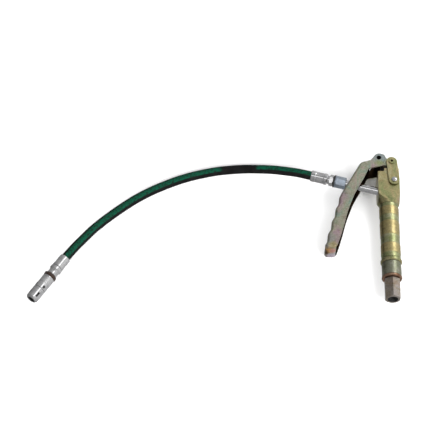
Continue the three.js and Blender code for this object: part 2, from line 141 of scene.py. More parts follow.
class Nodes:
    """Builds a material's nodes, each in one call."""

    def __init__(self, owner, shader="Principled BSDF"):
        self.tree = owner.node_tree
        self.shader = self.tree.nodes[shader]

    def feed(self, socket, value):
        """Links another node's output to a socket, or sets the socket's own value."""
        if isinstance(value, bpy.types.NodeSocket):
            self.tree.links.new(value, socket)
        else:
            socket.default_value = value

    def add(self, kind, inputs=None, **settings):
        node = self.tree.nodes.new(kind)
        for key, value in settings.items():
            setattr(node, key, value)
        for key, value in (inputs or {}).items():
            self.feed(node.inputs[key], value)
        return node

    def set(self, name, value):
        self.feed(self.shader.inputs[name], value)

    def position(self):
        return self.add("ShaderNodeTexCoord").outputs["Object"]

    def stretched(self, vector, scale, turn=(0, 0, 0), shift=(0, 0, 0)):
        inputs = {"Vector": vector, "Location": shift, "Rotation": turn, "Scale": scale}
        return self.add("ShaderNodeMapping", inputs).outputs["Vector"]

    def noise(self, vector, scale, detail=3.0, roughness=0.55, distortion=0.0):
        inputs = {
            "Vector": vector, "Scale": scale, "Detail": detail, "Roughness": roughness,
            "Distortion": distortion,
        }
        return self.add("ShaderNodeTexNoise", inputs).outputs["Fac"]

    def ramp(self, factor, stops):
        node = self.add("ShaderNodeValToRGB", {"Fac": factor})
        elements = node.color_ramp.elements
        while len(elements) < len(stops):
            elements.new(0.5)
        for element, (position, color) in zip(elements, stops):
            element.position = position
            element.color = (*color, 1)
        return node.outputs["Color"]

    def mix(self, factor, a, b, blend="MIX"):
        node = self.add("ShaderNodeMix", data_type="RGBA", blend_type=blend)
        for index, value in ((0, factor), (6, a), (7, b)):  # the sockets that an RGBA mix uses
            self.feed(node.inputs[index], (*value, 1) if isinstance(value, tuple) else value)
        return node.outputs[2]

    def math(self, operation, a, b=0.0):
        return self.add("ShaderNodeMath", {0: a, 1: b}, operation=operation).outputs[0]

    def between(self, value, low, high, out_low=0.0, out_high=1.0):
        inputs = {
            "Value": value, "From Min": low, "From Max": high, "To Min": out_low, "To Max": out_high,
        }
        return self.add("ShaderNodeMapRange", inputs, clamp=True).outputs["Result"]

    def near(self, centre, radius, soft, wander=0.0):
        """1 near a point given in mm from the handle's origin, fading to 0 a little beyond the radius."""
        where = self.position()
        point = HANDLE_ORIGIN + Vector(centre) * MM
        away = self.add("ShaderNodeVectorMath", {0: where, 1: point}, operation="DISTANCE").outputs["Value"]
        if wander:
            ragged = self.between(self.noise(where, 150, 3), 0.3, 0.7, -wander * MM, wander * MM)
            away = self.math("ADD", away, ragged)
        return self.between(away, (radius - soft) * MM, (radius + soft) * MM, 1.0, 0.0)

    def bump(self, height, strength, distance, normal=None):
        inputs = {"Height": height, "Strength": strength, "Distance": distance}
        if normal is not None:
            inputs["Normal"] = normal
        return self.add("ShaderNodeBump", inputs).outputs["Normal"]


def new_material(name, metallic, roughness):
    material = bpy.data.materials.new(name)
    material.use_nodes = True
    nodes = Nodes(material)
    nodes.set("Metallic", metallic)
    nodes.set("Roughness", roughness)
    return material, nodes


# ------------------------------------------------------------------ materials

DIRT = (0.10, 0.085, 0.05)


def zinc_plate(
    name, stops, patch_scale, stretch=(1, 1, 1), tint=None, tint_amount=0.5, spots=(), bands=None, dirt=DIRT
):
    """Iridescent chromated zinc: interference tints in soft patches, rolling marks, stains and grime.

    Each spot is a colour patch of its own (a plate tint, a painted highlight or a painted reflection, as each
    caller gives it): (centre, radius, softness, colour, amount), in mm from the handle.
    Bands is a colour and the stretches along the handle that take it.
    """
    material, n = new_material(name, 1.0, 0.34)
    where = n.position()
    patches = n.noise(n.stretched(where, stretch), patch_scale, 4, 0.6, 1.2)
    color = n.ramp(n.between(patches, 0.3, 0.7), stops)
    if tint:
        second = n.noise(n.stretched(where, stretch, shift=(3, 7, 1)), patch_scale * 0.7, 2, 0.5, 0.6)
        color = n.mix(n.between(second, 0.52, 0.66, 0, tint_amount), color, tint)
    if bands:
        along = n.add("ShaderNodeSeparateXYZ", {"Vector": where}).outputs["Y"]
        for low, high in bands[1]:
            low, high = HANDLE_ORIGIN.y + low * MM, HANDLE_ORIGIN.y + high * MM
            entered, not_left = n.between(along, low, low + MM), n.between(along, high - MM, high, 1, 0)
            inside = n.math("MULTIPLY", entered, not_left)
            color = n.mix(n.math("MULTIPLY", inside, 0.75), color, bands[0])
    for centre, radius, soft, spot_color, amount in spots:
        color = n.mix(n.math("MULTIPLY", n.near(centre, radius, soft, 1.5), amount), color, spot_color)
    stains = n.noise(where, 520, 3, 0.65)
    color = n.mix(n.between(stains, 0.34, 0.66, 0.42, 0.0), color, dirt)
    grime = n.noise(where, 120, 5, 0.7)
    color = n.mix(n.between(grime, 0.52, 0.68, 0.0, 0.4), color, dirt)
    n.set("Base Color", color)
    scratches = n.noise(n.stretched(where, (220, 2600, 220)), 1.0, 3, 0.6)
    worn = n.math("ADD", scratches, n.math("MULTIPLY", grime, 0.6))
    n.set("Roughness", n.between(worn, 0.5, 1.1, 0.28, 0.48))
    n.set("Normal", n.bump(scratches, 0.1, 0.00015, n.bump(stains, 0.14, 0.00025)))
    return material


def yellow_zinc():
    stops = [
        (0.0, (0.30, 0.34, 0.15)), (0.28, (0.40, 0.39, 0.19)), (0.5, (0.52, 0.43, 0.22)),
        (0.72, (0.52, 0.49, 0.28)), (1.0, (0.54, 0.36, 0.25)),
    ]
    return zinc_plate("yellow_zinc", stops, 60, (1, 0.6, 1), (0.31, 0.37, 0.17), 0.6)


def grip_zinc():
    """Greenish turned waists between tan lands."""
    stops = [
        (0.0, (0.30, 0.34, 0.15)), (0.35, (0.40, 0.42, 0.21)), (0.6, (0.47, 0.48, 0.28)),
        (1.0, (0.55, 0.52, 0.34)),
    ]
    lands = ((0.56, 0.44, 0.20), ((-43.6, -28.4), (-16.1, 6.1), (14.9, 28.6)))
    return zinc_plate("grip_zinc", stops, 60, (1, 1.2, 1), (0.28, 0.33, 0.13), 0.6, bands=lands)


def olive_zinc():
    """The lever's plate: grey-olive, pinkish along the middle, blue-grey at the lug; at the end, hot tints
    brightened into painted highlight, a near-white lilac painted highlight and a dark brown patch at the
    lower corner.
    """
    stops = [
        (0.0, (0.30, 0.42, 0.36)), (0.3, (0.40, 0.45, 0.34)), (0.55, (0.47, 0.45, 0.35)),
        (0.8, (0.52, 0.42, 0.39)), (1.0, (0.50, 0.34, 0.42)),
    ]
    lug, lug_green, waist_pink = (-12, 105, 14), (-12, 95, 14), (-61, 40, 14)
    low_mauve, low_olive = (-78, -27, 14), (-76, -37, 14)
    # The end spots are the plate's tints made brighter than the plate as painted highlight on the end face;
    # the near-white lilac one is a painted highlight.
    end_orange, end_brown, end_pink, end_lilac_highlight = (-81.5, -41, 5), (-87, -38, 0), (-76, -41, 5), (-77, -41, -9)
    spots = [
        (lug, 9, 3, (0.34, 0.39, 0.42), 0.8), (lug_green, 5, 2.5, (0.33, 0.40, 0.17), 0.75),
        (waist_pink, 7, 4, (0.50, 0.34, 0.40), 0.6), (low_mauve, 8, 5, (0.42, 0.35, 0.40), 0.5),
        (low_olive, 5, 2.5, (0.62, 0.52, 0.22), 0.7), (end_orange, 6, 3, (0.98, 0.52, 0.16), 0.9),
        (end_pink, 4, 2.5, (0.98, 0.50, 0.46), 0.9), (end_lilac_highlight, 7, 3, (0.96, 0.84, 0.97), 0.9),
        (end_brown, 6, 1.5, (0.14, 0.06, 0.02), 0.95),
    ]
    return zinc_plate("olive_zinc", stops, 70, (1, 0.5, 1), (0.48, 0.38, 0.44), 0.45, spots)


def lever_inside_painted_shade():
    # Painted shade: the lever channel's inside is painted near black, grime too, for the shade that falls
    # inside it; the bend spots are painted orange-brown reflection.
    stops = [(0.0, (0.012, 0.007, 0.004)), (0.6, (0.03, 0.017, 0.008)), (1.0, (0.06, 0.03, 0.012))]
    bend = [((-36, 86, 6), 12, 5, (0.55, 0.22, 0.05), 0.85), ((-46, 58, 8), 9, 5, (0.40, 0.16, 0.04), 0.7)]
    return zinc_plate("lever_inside_painted_shade", stops, 60, spots=bend, dirt=(0.01, 0.007, 0.004))


def pink_zinc():
    stops = [
        (0.0, (0.30, 0.24, 0.17)), (0.35, (0.40, 0.34, 0.28)), (0.65, (0.44, 0.40, 0.37)),
        (1.0, (0.46, 0.39, 0.40)),
    ]
    return zinc_plate("pink_zinc", stops, 70, tint=(0.40, 0.28, 0.22), tint_amount=0.4)


def grey_zinc():
    stops = [
        (0.0, (0.20, 0.21, 0.14)), (0.4, (0.29, 0.31, 0.22)), (0.7, (0.38, 0.38, 0.31)),
        (1.0, (0.46, 0.41, 0.32)),
    ]
    return zinc_plate("grey_zinc", stops, 60)


def copper_tone():
    stops = [(0.0, (0.26, 0.12, 0.07)), (0.5, (0.42, 0.25, 0.17)), (1.0, (0.52, 0.36, 0.27))]
    return zinc_plate("copper_tone", stops, 90, tint=(0.16, 0.07, 0.04), tint_amount=0.6)


def steel(name, light, dark, roughness, blue=0.0):
    """Bright or dark plated steel with fine circular tool marks and faint blotches."""
    material, n = new_material(name, 1.0, roughness)
    where = n.position()
    blotches = n.noise(where, 160, 4, 0.6)
    tinted = tuple(c * (1 + blue * k) for c, k in zip(light, (-1, 0, 1)))
    n.set("Base Color", n.mix(n.between(blotches, 0.35, 0.7), tinted, dark))
    marks = n.noise(n.stretched(where, (1, 1, 1), turn=(0.3, 0.2, 0.4)), 2200, 2, 0.6)
    worn = n.math("ADD", marks, blotches)
    n.set("Roughness", n.between(worn, 0.7, 1.3, roughness * 0.75, roughness * 1.35))
    n.set("Normal", n.bump(marks, 0.1, 0.0001))
    return material


def hose_rubber():
    """Black rubber cover with a broad, worn dark-green printed stripe along its upper side."""
    material, n = new_material("hose_rubber", 0.0, 0.5)
    uv = n.add("ShaderNodeUVMap", uv_map="run").outputs["UV"]
    split = n.add("ShaderNodeSeparateXYZ", {"Vector": uv})
    around, along = split.outputs["X"], split.outputs["Y"]
    where = n.position()
    centre = n.between(along, 0.0, HOSE_LENGTH, 0.50, 0.44)
    offset = n.math("ABSOLUTE", n.math("SUBTRACT", around, centre))
    stripe = n.between(offset, 0.085, 0.1, 1.0, 0.0)
    worn = n.math("MULTIPLY", stripe, n.between(n.noise(where, 420, 4, 0.7), 0.38, 0.52))
    first = n.between(along, PRINT_GAP[0], PRINT_GAP[0] + 0.004, 1.0, 0.0)
    last = n.between(along, PRINT_GAP[1], PRINT_GAP[1] + 0.004)
    worn = n.math("MULTIPLY", worn, n.math("ADD", first, last))
    grime = n.noise(where, 90, 4, 0.6)
    base = n.mix(n.between(grime, 0.35, 0.7), (0.002, 0.002, 0.002), (0.006, 0.006, 0.006))
    n.set("Base Color", n.mix(n.math("MULTIPLY", worn, 0.9), base, (0.001, 0.05, 0.026)))
    n.set("Roughness", n.between(grime, 0.3, 0.7, 0.42, 0.6))
    n.set("Specular IOR Level", 0.1)
    weave = n.add(
        "ShaderNodeTexWave",
        {"Vector": n.stretched(uv, (34, 900, 1), turn=(0, 0, 0.5)), "Scale": 1.0, "Distortion": 0.6},
    ).outputs["Fac"]
    pores = n.noise(where, 1500, 3, 0.6)
    n.set("Normal", n.bump(pores, 0.25, 0.0002, n.bump(weave, 0.12, 0.00015)))
    return material


def rubber(name, low, high, roughness):
    material, n = new_material(name, 0.0, roughness)
    where = n.position()
    grime = n.noise(where, 220, 4, 0.65)
    n.set("Base Color", n.mix(n.between(grime, 0.35, 0.7), low, high))
    n.set("Roughness", n.between(grime, 0.3, 0.7, roughness * 0.8, roughness * 1.2))
    n.set("Normal", n.bump(n.noise(where, 1800, 3, 0.6), 0.2, 0.00015))
    return material


# ------------------------------------------------------------------ mesh helpers


def object_from(name, bm, place, scaled=True):
    """Makes an object of a bmesh drawn in millimetres, or in metres where it isn't to be scaled."""
    if scaled:
        bm.transform(place @ Matrix.Scale(MM, 4))
    bmesh.ops.recalc_face_normals(bm, faces=bm.faces)
    mesh = bpy.data.meshes.new(name)
    bm.to_mesh(mesh)
    bm.free()
    made = bpy.data.objects.new(name, mesh)
    bpy.context.scene.collection.objects.link(made)
    return made


def rounded(points, radius, closed=True):
    """The outline again with its corners turned into arcs; points on the axis stay as they are."""
    out = []
    count = len(points)
    for i, (x, y) in enumerate(points):
        if not closed and i in (0, count - 1):
            out.append((x, y))
            continue
        here = Vector((x, y))
        back = Vector(points[i - 1]) - here
        on = Vector(points[(i + 1) % count]) - here
        if x == 0 or back.length < 1e-6 or on.length < 1e-6:
            out.append((x, y))
            continue
        half = back.angle(on) / 2
        if half > math.radians(86):
            out.append((x, y))
            continue
        reach = min(radius / math.tan(half), 0.45 * back.length, 0.45 * on.length)
        arc = reach * math.tan(half)
        middle = here + (back.normalized() + on.normalized()).normalized() * (arc / math.sin(half))
        start = here + back.normalized() * reach - middle
        end = here + on.normalized() * reach - middle
        for k in range(ARC_STEPS + 1):
            spoke = start.lerp(end, k / ARC_STEPS).normalized() * arc
            out.append(tuple(middle + spoke))
    return out


def ring_profile(bm, points, segments, wave=None):
    """Turns [radius, y] points about Y; wave(angle, radius, y) may change a radius."""
    rings = []
    for r, y in points:
        if r < 1e-6:
            rings.append([bm.verts.new((0, y, 0))])
            continue
        ring = []
        for k in range(segments):
            angle = 2 * math.pi * k / segments
            radius = wave(angle, r, y) if wave else r
            ring.append(bm.verts.new((radius * math.cos(angle), y, radius * math.sin(angle))))
        rings.append(ring)
    return rings


def skin(bm, rings, closed):
    """Faces between each ring and the next; a ring of one vertex is a point on the axis."""
    around = (0, 0), (0, 1), (1, 1), (1, 0)  # which ring, and which way along it
    pairs = list(zip(rings, rings[1:]))
    if closed:
        pairs.append((rings[-1], rings[0]))
    for pair in pairs:
        count = max(len(ring) for ring in pair)
        if count == 1:
            continue
        for k in range(count):
            corners = [pair[which][(k + step) % len(pair[which])] for which, step in around]
            bm.faces.new(list(dict.fromkeys(corners)))


def turned(name, profile, place, corner=0.3, segments=ROUND_SEGMENTS, wave=None):
    """A turned piece from [radius, y] points; a profile off the axis closes on itself."""
    on_axis = profile[0][0] == 0 and profile[-1][0] == 0
    points = rounded(profile, corner, closed=not on_axis) if corner else list(profile)
    bm = bmesh.new()
    rings = ring_profile(bm, points, segments, wave)
    skin(bm, rings, not on_axis)
    return object_from(name, bm, place)


def rod(name, radius, start, end, place):
    return turned(name, [(0, start), (radius, start), (radius, end), (0, end)], place, 0, SMALL_SEGMENTS)


def standing(axis):
    """A place whose +Y points up, through a point given in metres from the handle's origin."""
    return HANDLE @ Matrix.Translation((axis.x, axis.y, 0)) @ Matrix.Rotation(math.pi / 2, 4, "X")


def prism(name, layers, place):
    """A solid from matching outlines stacked in z: [(z, [(x, y), ...]), ...]."""
    bm = bmesh.new()
    stacked = [[bm.verts.new((x, y, z)) for x, y in outline] for z, outline in layers]
    for low, high in zip(stacked, stacked[1:]):
        for k in range(len(low)):
            j = (k + 1) % len(low)
            bm.faces.new((low[k], low[j], high[j], high[k]))
    bm.faces.new(stacked[0])
    bm.faces.new(stacked[-1])
    return object_from(name, bm, place)


def block(name, size, place):
    half = [s / 2 for s in size]
    outline = [(-half[0], -half[1]), (half[0], -half[1]), (half[0], half[1]), (-half[0], half[1])]
    return prism(name, [(-half[2], outline), (half[2], outline)], place)


def applied(piece):
    """Replaces a piece's mesh by what its modifiers make of it."""
    graph = bpy.context.evaluated_depsgraph_get()
    graph.update()
    mesh = bpy.data.meshes.new_from_object(piece.evaluated_get(graph))
    piece.modifiers.clear()
    piece.data = mesh
    return piece


def carve(piece, operation, *tools):
    """Joins, cuts or intersects a piece with tools, which are used up."""
    for tool in tools:
        step = piece.modifiers.new(operation, "BOOLEAN")
        step.operation = operation
        step.solver = "EXACT"
        step.object = tool
        step.material_mode = "TRANSFER"
        applied(piece)
        bpy.data.objects.remove(tool)
    return piece


def cleaned(piece):
    bm = bmesh.new()
    bm.from_mesh(piece.data)
    bmesh.ops.remove_doubles(bm, verts=bm.verts, dist=MERGE * MM)
    bmesh.ops.dissolve_degenerate(bm, edges=bm.edges, dist=MERGE * MM)
    bm.to_mesh(piece.data)
    bm.free()
    return piece


def bevelled(piece, width, segments=2, limit=28):
    step = piece.modifiers.new("edges", "BEVEL")
    step.width = width * MM
    step.segments = segments
    step.limit_method = "ANGLE"
    step.angle_limit = math.radians(limit)
    step.use_clamp_overlap = True
    step.miter_outer = "MITER_ARC"
    return applied(piece)


def shaded(piece):
    """Smooth shading that stays crisp at real edges and flat on flat faces."""
    piece.data.shade_smooth()
    piece.data.set_sharp_from_angle(angle=SHARP)
    step = piece.modifiers.new("normals", "WEIGHTED_NORMAL")
    step.keep_sharp = True
    step.weight = 80
    return piece


def placed(piece, body, nodes, slot, *materials):
    """Hands a finished piece to its CAD body, in place of the CAD nodes it stands for."""
    if materials:
        piece.data.materials.clear()
        for material in materials:
            piece.data.materials.append(material)
    shaded(piece)
    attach(piece, body)
    if nodes:
        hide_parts(*nodes)
    return piece


# ------------------------------------------------------------------ hose

# The hose centre line from ferrule to ferrule: x and y from the handle axis, z from the surface, mm.
HOSE_ROUTE = [
    (-103.2, 81.1, 18.8), (-121.5, 85.8, 18.3), (-138, 90.2, 15.4), (-154.5, 94.6, 11.6),
    (-171, 97.1, 8.7), (-192.4, 98.1, 6.7), (-214.6, 96.3, 6.1), (-233.2, 93.2, 6.1),
    (-251.1, 88.6, 6.1), (-269.8, 82.6, 6.1), (-287.2, 75.4, 6.1), (-304.8, 66.6, 6.1),
    (-322.5, 56.4, 6.1), (-340.6, 43.8, 6.1), (-358.4, 29, 6.1), (-375.4, 13.2, 6.3),
    (-391.3, -3.6, 6.8), (-403.2, -19.1, 7.6), (-414.1, -34.2, 8.6), (-425.4, -51.2, 8.8),
]
HOSE_RADIUS = 6
HOSE_SIDES = 40
STEPS_PER_SPAN = 24
TUCK = 1.6  # how far each end goes into its ferrule


def centripetal(points, steps):
    """A centripetal Catmull-Rom curve through the points."""
    ends = [2 * points[0] - points[1], *points, 2 * points[-1] - points[-2]]
    line = []
    for before, start, end, after in zip(ends, ends[1:], ends[2:], ends[3:]):
        chords = (start - before, end - start, after - end)
        lead, span, tail = (math.sqrt(chord.length) for chord in chords)
        leave = (start - before) / lead - (end - before) / (lead + span) + (end - start) / span
        arrive = (end - start) / span - (after - start) / (span + tail) + (after - end) / tail
        for k in range(steps):
            t = k / steps
            line.append(
                start * (2 * t**3 - 3 * t**2 + 1)
                + leave * span * (t**3 - 2 * t**2 + t)
                + end * (3 * t**2 - 2 * t**3)
                + arrive * span * (t**3 - t**2)
            )
    line.append(points[-1])
    return line


def hose_line():
    points = [
        Vector((HANDLE_ORIGIN.x + x * MM, HANDLE_ORIGIN.y + y * MM, z * MM)) for x, y, z in HOSE_ROUTE
    ]
    line = centripetal(points, STEPS_PER_SPAN)
    first = line[0] + (line[0] - line[1]).normalized() * TUCK * MM
    last = line[-1] + (line[-1] - line[-2]).normalized() * TUCK * MM
    return [first, *line, last]


def run_lengths(line):
    lengths = [0.0]
    for a, b in zip(line, line[1:]):
        lengths.append(lengths[-1] + (b - a).length)
    return lengths


def hose_mesh(line):
    """A round tube along the line, with a UV map of its turn (u) and its run in metres (v)."""
    bm = bmesh.new()
    uv = bm.loops.layers.uv.new("run")
    lengths = run_lengths(line)
    rings = []
    for i, here in enumerate(line):
        along = (line[min(i + 1, len(line) - 1)] - line[max(i - 1, 0)]).normalized()
        up = (Vector((0, 0, 1)) - along * along.z).normalized()
        side = along.cross(up)
        ring = []
        for k in range(HOSE_SIDES):
            angle = 2 * math.pi * k / HOSE_SIDES - math.pi
            spoke = up * math.cos(angle) + side * math.sin(angle)
            ring.append(bm.verts.new(here + spoke * HOSE_RADIUS * MM))
        rings.append(ring)
    for i, (low, high) in enumerate(zip(rings, rings[1:])):
        for k in range(HOSE_SIDES):
            j = (k + 1) % HOSE_SIDES
            face = bm.faces.new((low[k], low[j], high[j], high[k]))
            spots = ((k, i), (k + 1, i), (k + 1, i + 1), (k, i + 1))
            for loop, (turn, row) in zip(face.loops, spots):
                loop[uv].uv = (turn / HOSE_SIDES, lengths[row])
    bm.faces.new(rings[0])
    bm.faces.new(rings[-1])
    return object_from("grease_hose", bm, Matrix.Identity(4), scaled=False)


route = hose_line()
HOSE_LENGTH = run_lengths(route)[-1]
PRINT_GAP = (0.075, 0.125)  # the stretch of the run that carries no print, m
hose = hose_mesh(route)
placed(hose, "handle", ["hose"], "black_rubber", hose_rubber())

# ------------------------------------------------------------------ shared finishes

YELLOW = yellow_zinc()
GRIP = grip_zinc()
OLIVE = olive_zinc()
INSIDE_SHADE = lever_inside_painted_shade()
PINK = pink_zinc()
GREY = grey_zinc()
COPPER = copper_tone()
BRIGHT = steel("bright_steel", (0.62, 0.62, 0.62), (0.46, 0.46, 0.47), 0.14)
BLUE_ZINC = steel("blue_zinc", (0.42, 0.46, 0.51), (0.30, 0.34, 0.39), 0.3, 0.05)
# Dark steel for the hidden dark parts; also used as painted shade in the coupler pockets, the inlet socket
# and its thread, and on the plunger.
DARK_AND_SHADE = steel("dark_steel", (0.10, 0.10, 0.10), (0.04, 0.04, 0.04), 0.4)
LOCK_RUBBER = rubber("brown_rubber", (0.012, 0.006, 0.004), (0.03, 0.014, 0.008), 0.45)
BLACK = rubber("black_rubber", (0.01, 0.01, 0.01), (0.025, 0.025, 0.025), 0.5)
SEAL = rubber("seal_red", (0.2, 0.03, 0.02), (0.32, 0.06, 0.04), 0.45)

# ------------------------------------------------------------------ head, grip and inlet

HEAD_HALF = 14.3
HEAD_BOTTOM = 34
HEAD_CONE = 36.8  # where the turned cone is as wide as the square
HEAD_SQUARE = 47  # where the square's corners are full
HEAD_LEFT_TOP = 81.5  # the top is lower on the lever's side
HEAD_TOP = 86.5
HEAD_STEP = -5.5
SPIGOT_RADIUS = 9
BORE_RADIUS = 6.6
BORE_TOP = 81
PLUNGER_HOLE = 4.8
SCREW_HOLE = 2.8
GRIP_LAND = 13
GRIP_WAIST = 12.6
GRIP_LANDS = ((-43, -29), (-15.5, 5.5), (15.5, 28))  # the full-diameter stretches
THREAD_PITCH = 1.34
THREAD_DEPTH = 0.8


def head_block():
    half = HEAD_HALF
    outline = [
        (-half, HEAD_BOTTOM), (half, HEAD_BOTTOM), (half, HEAD_TOP), (HEAD_STEP, HEAD_TOP),
        (HEAD_STEP, HEAD_LEFT_TOP), (-half, HEAD_LEFT_TOP),
    ]
    body = prism("head", [(-half, outline), (half, outline)], HANDLE)
    corner = half * math.sqrt(2)
    limit_profile = [
        (0, HEAD_BOTTOM - 1), (12.6, HEAD_BOTTOM), (half, HEAD_CONE), (corner + 0.2, HEAD_SQUARE),
        (corner - 0.5, HEAD_TOP + 1), (0, HEAD_TOP + 1),
    ]
    carve(body, "INTERSECT", turned("limit", limit_profile, HANDLE, 0))
    carve(body, "UNION", rod("spigot", SPIGOT_RADIUS, 22, HEAD_BOTTOM + 1, HANDLE))
    bore = [(0, 20), (BORE_RADIUS, 20), (BORE_RADIUS, BORE_TOP)]
    bore += [(PLUNGER_HOLE, BORE_TOP), (PLUNGER_HOLE, 88), (0, 88)]
    tools = [
        turned("bore", bore, HANDLE, 0),
        rod("socket", 5.5, -6, 6, OUTLET),
        rod("screw_front", SCREW_HOLE, 6.7, 16, standing(SCREW_AXIS)),
        rod("screw_back", SCREW_HOLE, -16, -6.7, standing(SCREW_AXIS)),
    ]
    carve(body, "DIFFERENCE", *tools)
    bevelled(cleaned(body), 0.45, 3, 24)
    return placed(body, "handle", ["head_block"], "yellow_zinc", YELLOW)


def grip_tube():
    land, waist = GRIP_LAND, GRIP_WAIST
    profile = [(9.3, 33.7), (9.3, 21.4), (6, 21.4), (6, GRIP_BOTTOM), (land - 0.5, GRIP_BOTTOM)]
    profile += [(waist, GRIP_BOTTOM + 0.5)]
    for start, end in GRIP_LANDS:
        profile += [(waist, start - 0.8), (land, start), (land, end), (waist, end + 0.8)]
    profile += [(waist, 33.7)]
    tube = turned("grip", profile, HANDLE, 0.25, FINE_SEGMENTS)
    return placed(tube, "handle", ["grip_tube"], "yellow_zinc", GRIP)


def inlet_rings():
    ring = [(6.3, -55.9), (12.8, -55.9), (14, -54.6), (14, -52), (12.6, -50.3), (6.3, -50.3)]
    collar = [
        (7.4, -75.6), (12.7, -75.6), (12.7, -56.8), (12.1, -56.2), (5.7, -56.2), (5.7, -38),
        (3.5, -38), (3.5, -59), (7.4, -59),
    ]
    washer = [(7.4, -79.3), (12, -79.3), (13.2, -78.2), (13.2, -76.4), (12.8, -75.9), (7.4, -75.9)]
    placed(turned("end_ring", ring, HANDLE, 0.5), "handle", ["grip_end_ring"], "yellow_zinc", YELLOW)
    placed(turned("collar", collar, HANDLE, 0.3), "handle", ["inlet_collar"], "olive_zinc", GREY)
    placed(turned("washer", washer, HANDLE, 0.5), "handle", ["inlet_seal_washer"], "copper_tone", COPPER)


def hex_bar(name, across, start, end, chamfer, place):
    """A hexagonal bar with a corner towards +Z and turned, chamfered ends."""
    corner = across / math.sqrt(3)
    flat = across / 2
    bm = bmesh.new()
    rings = []
    for y in (start, end):
        angles = [math.pi / 2 + k * math.pi / 3 for k in range(6)]
        rings.append([bm.verts.new((corner * math.cos(a), y, corner * math.sin(a))) for a in angles])
    skin(bm, rings, False)
    bm.faces.new(rings[0])
    bm.faces.new(rings[1])
    bar = object_from(name, bm, place)
    limit = [
        (0, start), (flat - 0.2, start), (corner + 0.2, start + chamfer),
        (corner + 0.2, end - chamfer), (flat - 0.2, end), (0, end),
    ]
    return carve(bar, "INTERSECT", turned("limit", limit, place, 0))


def inlet_hex():
    end, thread = -108.4, 5.7
    body = hex_bar("inlet", 19, end, -79.6, 1.3, HANDLE)
    carve(body, "UNION", rod("spigot", 7.1, -80.5, -60, HANDLE))
    body.data.materials.clear()
    body.data.materials.append(PINK)
    profile = [
        (0, end - 1), (thread + 1.7, end - 1), (thread + 0.9, end + 0.4), (thread + 0.9, end + 13.6),
        (3, end + 15.5), (3, -59), (0, -59),
    ]
    hole = turned("hole", profile, HANDLE, 0)
    # The socket's bore is painted dark: painted shade inside the socket.
    hole.data.materials.append(DARK_AND_SHADE)
    carve(body, "DIFFERENCE", hole)
    bevelled(cleaned(body), 0.3, 2, 24)
    placed(body, "handle", ["inlet_hex"], "pink_zinc")
    thread_sleeve(end + 0.6, end + 13.4, thread)


def thread_sleeve(start, end, inner):
    """The female thread: a thin sleeve in the socket with a helical ridge on its inside."""
    outer = inner + 0.95
    rows = int((end - start) / THREAD_PITCH * 8)
    segments = 64
    bm = bmesh.new()
    inside = []
    for i in range(rows + 1):
        y = start + (end - start) * i / rows
        ring = []
        for k in range(segments):
            angle = 2 * math.pi * k / segments
            phase = ((y - start) / THREAD_PITCH - k / segments) % 1.0
            ridge = 1 - abs(2 * phase - 1)
            fade = min(1, i / 6, (rows - i) / 6)
            r = inner + THREAD_DEPTH * (1 - ridge * fade)
            ring.append(bm.verts.new((r * math.cos(angle), y, r * math.sin(angle))))
        inside.append(ring)
    outside = ring_profile(bm, [(outer, end), (outer, start)], segments)
    skin(bm, inside + outside, True)
    sleeve = object_from("socket_thread", bm, HANDLE)
    # The thread is painted dark as painted shade inside the socket.
    return placed(sleeve, "handle", [], "pink_zinc", DARK_AND_SHADE)


# ------------------------------------------------------------------ lever

LEVER_HALF = 14.2
WALL = 2.0
BEND = 3.4  # outer radius of the sheet's bends
LEVER_END = -40.4
FINGER_LOW = Vector((-86, -36))
FINGER_HIGH = Vector((-64.2, 44.5))
FINGER_STEPS = 84
RIDGE_HEIGHT = 0.9
RIDGE_PITCH = 20.5
RIDGE_FIRST = 3.84  # how far the first crest lies below the lowest end
RIDGE_FADE = 8  # length over which the ridges die out at the top
EYE = (-12, 103.6)  # the hanging eye
FREE_EDGE = [
    (-33.4, 69.5), (-41.4, 54), (-46.2, 44), (-50.6, 32), (-54.7, 20), (-58, 8), (-61.2, -5),
    (-66.4, -24), (-69.6, -34),
]


def finger_side():
    """The finger side from its lowest end upwards: ridges with a shallow hollow between each pair."""
    along = (FINGER_HIGH - FINGER_LOW).normalized()
    outward = Vector((-along.y, along.x))
    total = (FINGER_HIGH - FINGER_LOW).length
    points = []
    for i in range(FINGER_STEPS + 1):
        s = total * i / FINGER_STEPS
        fade = min(1.0, (total - s) / RIDGE_FADE)
        ridge = RIDGE_HEIGHT * math.cos(2 * math.pi * (s + RIDGE_FIRST) / RIDGE_PITCH) * fade
        points.append(FINGER_LOW + along * s + outward * ridge)
    return [tuple(p) for p in points]


def arc(centre, radius, start, end, steps):
    """Points of an arc from start to end degrees."""
    angles = [math.radians(start + (end - start) * k / steps) for k in range(steps + 1)]
    return [(centre[0] + radius * math.cos(a), centre[1] + radius * math.sin(a)) for a in angles]


def quadratic(a, b, c):
    """Points of a quadratic curve after a, to c."""
    points = []
    for k in range(1, CURVE_STEPS + 1):
        t = k / CURVE_STEPS
        points.append(tuple((1 - t) ** 2 * Vector(a) + 2 * t * (1 - t) * Vector(b) + t * t * Vector(c)))
    return points


def spline(points):
    """A smooth level curve through the points."""
    return [(p.x, p.y) for p in centripetal([Vector((x, y, 0)) for x, y in points], SPLINE_STEPS)]


